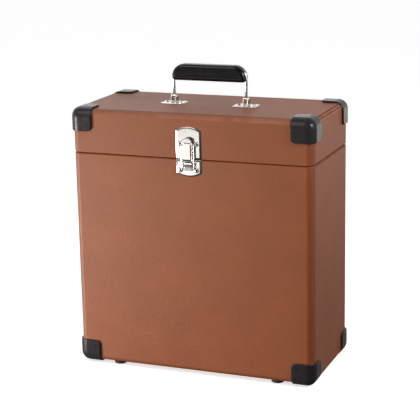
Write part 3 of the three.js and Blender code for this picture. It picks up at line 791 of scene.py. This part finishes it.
def make_plates():
    plate_high = node_box("latch_plate")[1]
    catch_low, catch_high = node_box("catch_plate")
    pin = joint_place("latch_lever_turn")
    foot = LID_RIM + 0.9
    ears = []
    for sign in (-1, 1):
        x = sign * EAR_APART
        ear = [(PLATE_FACE + 0.4, pin.z + 1.0), (PLATE_FACE + 0.4, pin.z + 5.5)]
        ear += [(pin.y + a, pin.z + b) for a, b in arc((0, 0), 1.5, 80, 315, 10)]
        ears.append(slab("x", ear, x - EAR_HALF, x + EAR_HALF))
    upper = pressed_plate(arched(foot, plate_high.z - LATCH_ARCH, plate_high.z))
    build("latch_plate", merged(upper, *ears), NICKEL, "lid", replaces=("latch_plate",))
    lower = pressed_plate(arched(catch_high.z, catch_low.z + CATCH_ARCH, catch_low.z))
    build("catch_plate", lower, NICKEL, "base", replaces=("catch_plate",))
    bar = loop_bar_z()
    hook = [(PLATE_FACE - out, bar + up) for out, up in HOOK_SHAPE]
    build("catch_hook", slab("x", hook, -HOOK_HALF, HOOK_HALF), NICKEL, "base", bevel=0.3)
    build("lever_pin", revolve([(0.05, -6.3), (0.7, -6.2), (0.7, 6.2), (0.05, 6.3)], "x", pin, 16),
          NICKEL, "lid", replaces=("lever_pin",))
    for zone, body in (("latch", "lid"), ("catch", "base")):
        for side, _ in SIDES:
            name = f"{zone}_rivet_{side}"
            x, _, z = node_middle(name)
            spot = (x, PLATE_FACE, z)
            rivet = rivet_part("y", spot, -1, RIVET_RADIUS, RIVET_HEIGHT, RIVET_HOLLOW)
            build(name, rivet, NICKEL, body, replaces=(name,))
            # Painted shade: a dark disc in the rivet's hollow.
            bore_shade = bore_shade_part("y", spot, -1, RIVET_HOLLOW)
            build(name.replace("rivet", "bore_shade"), bore_shade, DARK_NAIL_AND_BORE_SHADE, body)


LEVER_DEPTH = 2.6
LEVER_BACK = 8.15
LEVER_FRONT = 4.8
LEVER_TOP = 24.5
LEVER_WALL = 0.8
LEVER_CURL = (84, 72, 60, 48, 36, 24, 12, 0)
SLOT_HALF = 4.7
SLOT_SPAN = (22.9, 24.0)


def lever_ring(pin, s, depth, shrink=0.0):
    """Section of the lever's bevelled channel at a height s above its pin."""
    def half(y):
        forward = (LEVER_DEPTH - y) / (2 * LEVER_DEPTH)
        return LEVER_BACK - forward * (LEVER_BACK - LEVER_FRONT) - shrink

    back, front = depth, -depth + shrink
    corners = ((-half(back), back), (-half(front), front), (half(front), front), (half(back), back))
    return [tuple(pin + Vector((x, y, s))) for x, y in corners]


def lever_tab(pin, low, high, half, corner, y_from, y_to, soft):
    """A plate with two rounded upper corners, its front edge softened."""
    outline = arc((half - corner, high - corner), corner, 0, 90, 8)
    outline += arc((corner - half, high - corner), corner, 90, 180, 8)
    outline += [(-half, low), (half, low)]
    outline = [(x, pin.z + z) for x, z in outline]
    return stack("y", [(outline, pin.y + y_from), (outline, pin.y + y_to + soft),
                       (inset_outline(outline, soft * 0.3), pin.y + y_to + soft * 0.3),
                       (inset_outline(outline, soft), pin.y + y_to)])


def make_lever():
    pin = joint_place("latch_lever_turn")
    rings = []
    for angle in (math.radians(a) for a in LEVER_CURL):
        rings.append(lever_ring(pin, -LEVER_DEPTH * math.sin(angle), LEVER_DEPTH * math.cos(angle)))
    rings.append(lever_ring(pin, LEVER_TOP, LEVER_DEPTH))
    channel_rings = []
    for s in (-LEVER_DEPTH - 1, LEVER_TOP - LEVER_WALL):
        ring = lever_ring(pin, s, LEVER_DEPTH, LEVER_WALL)
        channel_rings.append([(x, y if y < pin.y else y + 1, z) for x, y, z in ring])
    hood = lever_tab(pin, LEVER_TOP - 0.9, 30.6, 8.1, 6.8, -1.2, -3.6, 0.9)
    cheeks = lever_tab(pin, 20.5, 30.0, 8.0, 6.6, 1.6, -1.6, 0.3)
    hollow = lever_tab(pin, 21.5, 29.0, 7.0, 5.8, 2.4, -0.6, 0.3)
    low, high = SLOT_SPAN
    corners = ((-SLOT_HALF, low), (SLOT_HALF, low), (SLOT_HALF, high), (-SLOT_HALF, high))
    slot = slab("y", [(x, pin.z + z) for x, z in corners], pin.y + 1.0, pin.y - 3.0)
    build("latch_lever", loft(rings), NICKEL, "latch_lever", bevel=0.35,
          replaces=("latch_lever",), joins=(hood, cheeks), cuts=(loft(channel_rings), hollow, slot))


LOOP_WIRE = 1.15
LOOP_DROP = 35.5
LOOP_CORNER = 3.6
LOOP_TURN = 1.8


def loop_bar_z():
    return joint_place("latch_loop_turn").z - LOOP_DROP


def make_loop():
    top = joint_place("latch_loop_turn")
    half = node_box("latch_loop")[1].x - LOOP_WIRE
    corner, turn = LOOP_CORNER, LOOP_TURN
    right = [(5.0, 0.0), (half - turn, 0.0)]
    right += arc((half - turn, -turn), turn, 80, 10, 5) + [(half, -turn)]
    right += [(half, corner - LOOP_DROP)]
    right += arc((half - corner, corner - LOOP_DROP), corner, -8, -82, 7)
    right += [(half - corner, -LOOP_DROP)]
    left = [(-x, z) for x, z in reversed(right)]
    path = [Vector((x, top.y, top.z + z)) for x, z in right + [(0, -LOOP_DROP)] + left]
    build("latch_loop", sweep(path, LOOP_WIRE, 18), WIRE, "latch_loop",
          replaces=("latch_loop",))


# ---- Handle ----

GRIP_SOFT = 5.5
GRIP_LINE = (-46, -30, -15, 0, 15, 30, 46)
GRIP_LINE_UP = 10.5
BAIL_WIRE = 2.25
BAIL_BENDS = ((0, 2), (0, 16), (0, 30), (3, 39), (10, 44), (22, 42.5), (34, 41.5))
EYE_RIM = [(1.6, -2.2), (3.9, -2.2), (4.3, -1.8), (4.3, 1.8), (3.9, 2.2), (1.6, 2.2)]
PIN_HEAD = ((0.1, 1.3), (1.4, 1.2), (2.5, 0.6), (2.7, 0), (1.3, 0))
BRACKET_GAP = 0.35
BRACKET_EAR = 1.3
BRACKET_RIVET_HEIGHT = 1.5
BRACKET_RIVET_HOLLOW = 1.4
BRACKET_LAYERS = ((0, 0), (0, 0.5), (0.4, 0.9), (1.8, 1.35), (2.2, 1.4))


def grip_outline(length, low, high, inset):
    """Outline in (x, z) of the grip: big shoulders above, small corners below."""
    shoulder, foot = 19.0 - inset, max(5.5 - inset, 0.5)
    half, low, high = length - inset, low + inset, high - inset
    return (arc((half - foot, low + foot), foot, -90, 0, 5)
            + arc((half - shoulder, high - shoulder), shoulder, 0, 90, 14)
            + arc((shoulder - half, high - shoulder), shoulder, 90, 180, 14)
            + arc((foot - half, low + foot), foot, 180, 270, 5))


def bail_path(pivot, leg_x):
    """The wire's centre line: up a leg, round the grip's shoulder and through the grip."""
    half = [(leg_x - inward, z) for inward, z in BAIL_BENDS]
    points = half + [(-x, z) for x, z in reversed(half)]
    return smooth_path([(x, pivot.y, pivot.z + z) for x, z in points], 8)


def make_handle():
    pivot = joint_place("handle_swing")
    low, high = node_box("handle_grip")
    leg_x = node_middle("handle_pin_right")[0]
    depth = high.y
    layers = []
    for d, h in arc((0, 0), GRIP_SOFT, 90, 0, 8):
        outline = grip_outline(high.x, low.z, high.z, GRIP_SOFT - d)
        layers.append((outline, depth - GRIP_SOFT + h))
    layers += [(outline, -y) for outline, y in reversed(layers)]
    wire = bail_path(pivot, leg_x)
    for face, sign in FACES:
        line = [(x, sign * (depth - 0.1), low.z + GRIP_LINE_UP - (x / GRIP_LINE[-1]) ** 2)
                for x in GRIP_LINE]
        ridge = sweep(smooth_path(line, 6), 0.42, 10, (0, 0, 1))
        build(f"grip_mould_line_{face}", ridge, GRIP_PLASTIC, "handle")
    build("handle_grip", stack("y", layers), GRIP_PLASTIC, "handle",
          replaces=("handle_grip",), cuts=(sweep(wire, BAIL_WIRE + 0.2, 20),))
    eyes = [revolve_closed(EYE_RIM, "x", (sign * leg_x, pivot.y, pivot.z), 36) for sign in (-1, 1)]
    build("handle_bail", sweep(wire, BAIL_WIRE, 20), WIRE, "handle",
          replaces=("handle_bail",), joins=eyes)


def make_brackets():
    pivot = joint_place("handle_swing")
    foot = TOP_Z + PANEL_PROUD
    for side, _ in SIDES:
        name = f"handle_bracket_{side}"
        low, high = node_box(name)
        x = node_middle(name)[0]
        half = Vector(((high.x - low.x) / 2, (high.y - low.y) / 2))
        outline = [(u + x, v) for u, v in rounded_rect(half.x, half.y, 5.0, 8)]
        plate = stack("z", [(inset_outline(outline, inset) if inset else outline, foot + height)
                            for inset, height in BRACKET_LAYERS])
        ears = []
        for edge in (-1, 1):
            near = x + edge * (BAIL_WIRE + BRACKET_GAP)
            far = near + edge * BRACKET_EAR
            ear = [(-7.8, foot + 0.8), (7.8, foot + 0.8)]
            ear += [(a, pivot.z + b) for a, b in arc((0, 0), 4.6, 12, 168, 16)]
            ears.append(slab("x", ear, min(near, far), max(near, far)))
        build(name, merged(plate, *ears), NICKEL, "lid", bevel=0.25, segments=2, angle=50,
              replaces=(name,))
        pin_name = f"handle_pin_{side}"
        reach = BAIL_WIRE + BRACKET_GAP + BRACKET_EAR
        pin = [(r, -reach - h) for r, h in PIN_HEAD]
        profile = pin + [(r, -h) for r, h in reversed(pin)]
        build(pin_name, revolve(profile, "x", (x, pivot.y, pivot.z), 24), NICKEL, "lid",
              replaces=(pin_name,))
        for where in ("inner", "outer"):
            rivet_name = f"bracket_rivet_{side}_{where}"
            rivet_low, rivet_high = node_box(rivet_name)
            spot = (node_middle(rivet_name)[0], 0, foot + BRACKET_LAYERS[-1][1])
            radius = (rivet_high.x - rivet_low.x) / 2
            rivet = rivet_part("z", spot, 1, radius, BRACKET_RIVET_HEIGHT, BRACKET_RIVET_HOLLOW)
            build(rivet_name, rivet, NICKEL, "lid", replaces=(rivet_name,))
            # Painted shade: a dark disc in the rivet's hollow.
            bore_shade = bore_shade_part("z", spot, 1, BRACKET_RIVET_HOLLOW)
            build(rivet_name.replace("rivet", "bore_shade"), bore_shade, DARK_NAIL_AND_BORE_SHADE, "lid")


# ---- Hinges ----

BARREL_RADIUS = 3.2
BARREL_BORE = 1.7
BARREL_SOFT = 0.3
LEAF_THICK = 1.2
LEAF_HALF = 20.0
LEAF_SPANS = {"lid": ((-8, 8),), "base": ((-20, -8.3), (8.3, 20))}


def hinge_knuckle(x, axis, start, up, back, span):
    """The barrel round the pin over one span, and the web that joins it to its leaf."""
    a, b = span
    near, far = sorted((axis.z, start + up * 2.5))
    web = [(x + a, near), (x + b, near), (x + b, far), (x + a, far)]
    outer, edge = BARREL_RADIUS, BARREL_RADIUS - BARREL_SOFT
    barrel = [(BARREL_BORE, a), (edge, a), (outer, a + BARREL_SOFT), (outer, b - BARREL_SOFT),
              (edge, b), (BARREL_BORE, b)]
    return (slab("y", web, back, back + LEAF_THICK),
            revolve_closed(barrel, "x", (x, axis.y, axis.z), 28))


def make_hinges():
    axis = joint_place("lid_hinge")
    back = HALF_Y + PANEL_PROUD * 0.2
    for side, _ in SIDES:
        pin_name = f"hinge_pin_{side}"
        low, high = node_box(pin_name)
        x, reach = node_middle(pin_name)[0], (high.x - low.x) / 2
        pin = [(0.1, -reach), (1.1, -reach), (1.4, -reach + 0.3)]
        profile = pin + [(r, -h) for r, h in reversed(pin)]
        build(pin_name, revolve(profile, "x", (x, axis.y, axis.z), 20), NICKEL, "base",
              replaces=(pin_name,))
        for zone, up in (("base", -1), ("lid", 1)):
            name = f"hinge_{zone}_leaf_{side}"
            box_low, box_high = node_box(name)
            end = box_high.z if up > 0 else box_low.z
            start = axis.z + up * (BARREL_RADIUS + 0.3)
            middle = (start + end) / 2
            corners = rounded_rect(LEAF_HALF, abs(end - start) / 2, 3.0, 6)
            leaf = [slab("y", [(u + x, v + middle) for u, v in corners], back, back + LEAF_THICK)]
            for span in LEAF_SPANS[zone]:
                leaf += hinge_knuckle(x, axis, start, up, back, span)
            build(name, merged(*leaf), NICKEL, zone, bevel=0.3, segments=2, angle=50,
                  replaces=(name,))
            spots = [(x + sign * 12, back + LEAF_THICK, middle + up * 2) for sign in (-1, 1)]
            heads = [rivet_part("y", spot, 1, 3.3, 0.9) for spot in spots]
            build(f"hinge_{zone}_rivets_{side}", merged(*heads), NICKEL, zone)


# ---- Stage ----

CAMERA_AZIMUTH = math.radians(21.6)
CAMERA_ELEVATION = math.radians(14.34)
CAMERA_ROLL = math.radians(-1.14)
CAMERA_PLACE = Vector((730.5, -1854.6, 740.5))
SENSOR_MM = 36.0
LENS_MM = 117.7
FLOOR_GLOW = 0.68
FLOOR_REACH = 40.0
WHITE = (1.0, 1.0, 1.0)
WARM_WHITE = (1.0, 0.96, 0.90)
# name, place, aim, size, watts, colour
LAMPS = (
    ("key", (-1050, -820, -60), (-60, -87, 200), (620, 520), 20.8, WARM_WHITE),
    ("card", (-430, -1100, 10), (0, -89, 340), (270, 340), 0.40, WHITE),
    ("front_top", (-535, -1050, 1410), (0, -87, 391), (900, 900), 4.7, WHITE),
    ("overhead", (-700, 500, 1300), (0, 0, 390), (900, 700), 2.8, WHITE),
    ("back_left", (-1400, 1500, 900), (-100, 0, 391), (600, 500), 2.2, WHITE),
    ("right", (959, -310, 844), (150, 0, 330), (300, 300), 5.0, WHITE),
    ("back_right", (750, 1500, 140), (184, 0, 230), (1000, 420), 0.65, WHITE),
    ("side", (1120, -180, 620), (184, 0, 320), (900, 800), 3.1, WHITE),
)
WORLD_RAMP = ((0.0, 0.05), (0.33, 0.10), (0.42, 0.42), (0.50, 0.56), (0.62, 0.30), (1.0, 0.18))
WORLD_FRONT = 0.25
WORLD_BACK = 2.62
WORLD_LEFT = 1.65
WORLD_RIGHT = 0.12


def make_camera():
    data = bpy.data.cameras.new("camera")
    data.lens = LENS_MM
    data.sensor_width = SENSOR_MM
    data.clip_start = 0.05
    camera = bpy.data.objects.new("camera", data)
    bpy.context.scene.collection.objects.link(camera)
    camera.location = CAMERA_PLACE * MM
    turn = Euler((math.pi / 2 - CAMERA_ELEVATION, 0, CAMERA_AZIMUTH), "XYZ").to_matrix()
    camera.rotation_euler = (turn @ Matrix.Rotation(CAMERA_ROLL, 3, "Z")).to_euler()
    bpy.context.scene.camera = camera


def softbox(name, place_mm, aim_mm, size_mm, watts, colour):
    data = bpy.data.lights.new(name, "AREA")
    data.shape = "RECTANGLE"
    data.size, data.size_y = size_mm[0] * MM, size_mm[1] * MM
    data.energy = watts
    data.color = colour
    lamp = bpy.data.objects.new(name, data)
    lamp.visible_camera = False
    lamp.location = Vector(place_mm) * MM
    aim = (Vector(aim_mm) - Vector(place_mm)).normalized()
    lamp.rotation_euler = aim.to_track_quat("-Z", "Y").to_euler()
    bpy.context.scene.collection.objects.link(lamp)


def make_world():
    """A pale room: dim below, brightest round the horizon and softer overhead."""
    world = bpy.data.worlds.new("studio")
    bpy.context.scene.world = world
    world.use_nodes = True
    nodes, links = world.node_tree.nodes, world.node_tree.links
    background = nodes["Background"]
    split = nodes.new("ShaderNodeSeparateXYZ")
    links.new(nodes.new("ShaderNodeTexCoord").outputs["Generated"], split.inputs["Vector"])
    height = nodes.new("ShaderNodeMapRange")
    height.inputs["From Min"].default_value = -1
    links.new(split.outputs["Z"], height.inputs["Value"])
    ramp = nodes.new("ShaderNodeValToRGB")
    links.new(height.outputs["Result"], ramp.inputs["Fac"])
    stops = ramp.color_ramp.elements
    while len(stops) < len(WORLD_RAMP):
        stops.new(0.5)
    for stop, (position, grey) in zip(stops, WORLD_RAMP):
        stop.position = position
        stop.color = (grey, grey, grey, 1)
    links.new(ramp.outputs["Color"], background.inputs["Color"])
    strength = nodes.new("ShaderNodeMath")
    strength.operation = "MULTIPLY"
    spans = (("Y", WORLD_FRONT, WORLD_BACK), ("X", WORLD_LEFT, WORLD_RIGHT))
    for socket, (axis, low, high) in zip(strength.inputs, spans):
        across = nodes.new("ShaderNodeMapRange")
        for key, value in (("From Min", -1), ("To Min", low), ("To Max", high)):
            across.inputs[key].default_value = value
        links.new(split.outputs[axis], across.inputs["Value"])
        links.new(across.outputs["Result"], socket)
    links.new(strength.outputs["Value"], background.inputs["Strength"])


def make_floor():
    """A pale plain that the camera sees, and that neither blocks nor bounces the lamps' light."""
    mesh = bpy.data.meshes.new("floor")
    corners = [(FLOOR_REACH * u, FLOOR_REACH * v, 0)
               for u, v in ((-1, -1), (1, -1), (1, 1), (-1, 1))]
    mesh.from_pydata(corners, [], [(0, 1, 2, 3)])
    floor = bpy.data.objects.new("floor", mesh)
    bpy.context.scene.collection.objects.link(floor)
    m = Nodes("pale_floor")
    m.feed("Base Color", m.blended(m.noise(3, 2), (0.93, 0.93, 0.93), (0.95, 0.95, 0.95)))
    m.set(Roughness=0.9, Emission_Color=(1, 1, 1, 1), Emission_Strength=FLOOR_GLOW)
    floor.data.materials.append(m.material)
    floor.visible_diffuse = False
    floor.visible_glossy = False
    floor.visible_shadow = False
    floor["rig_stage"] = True


make_camera()
make_world()
for lamp_facts in LAMPS:
    softbox(*lamp_facts)
make_floor()
make_covers()
make_lining()
carry_over_boards()
make_caps()
make_feet()
make_plates()
make_lever()
make_loop()
make_handle()
make_brackets()
make_hinges()
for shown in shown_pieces():
    if "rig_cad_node" not in shown:
        shown.modifiers.new("weighting", "WEIGHTED_NORMAL").keep_sharp = True
bpy.context.scene.view_settings.view_transform = "Standard"
bpy.context.view_layer.update()
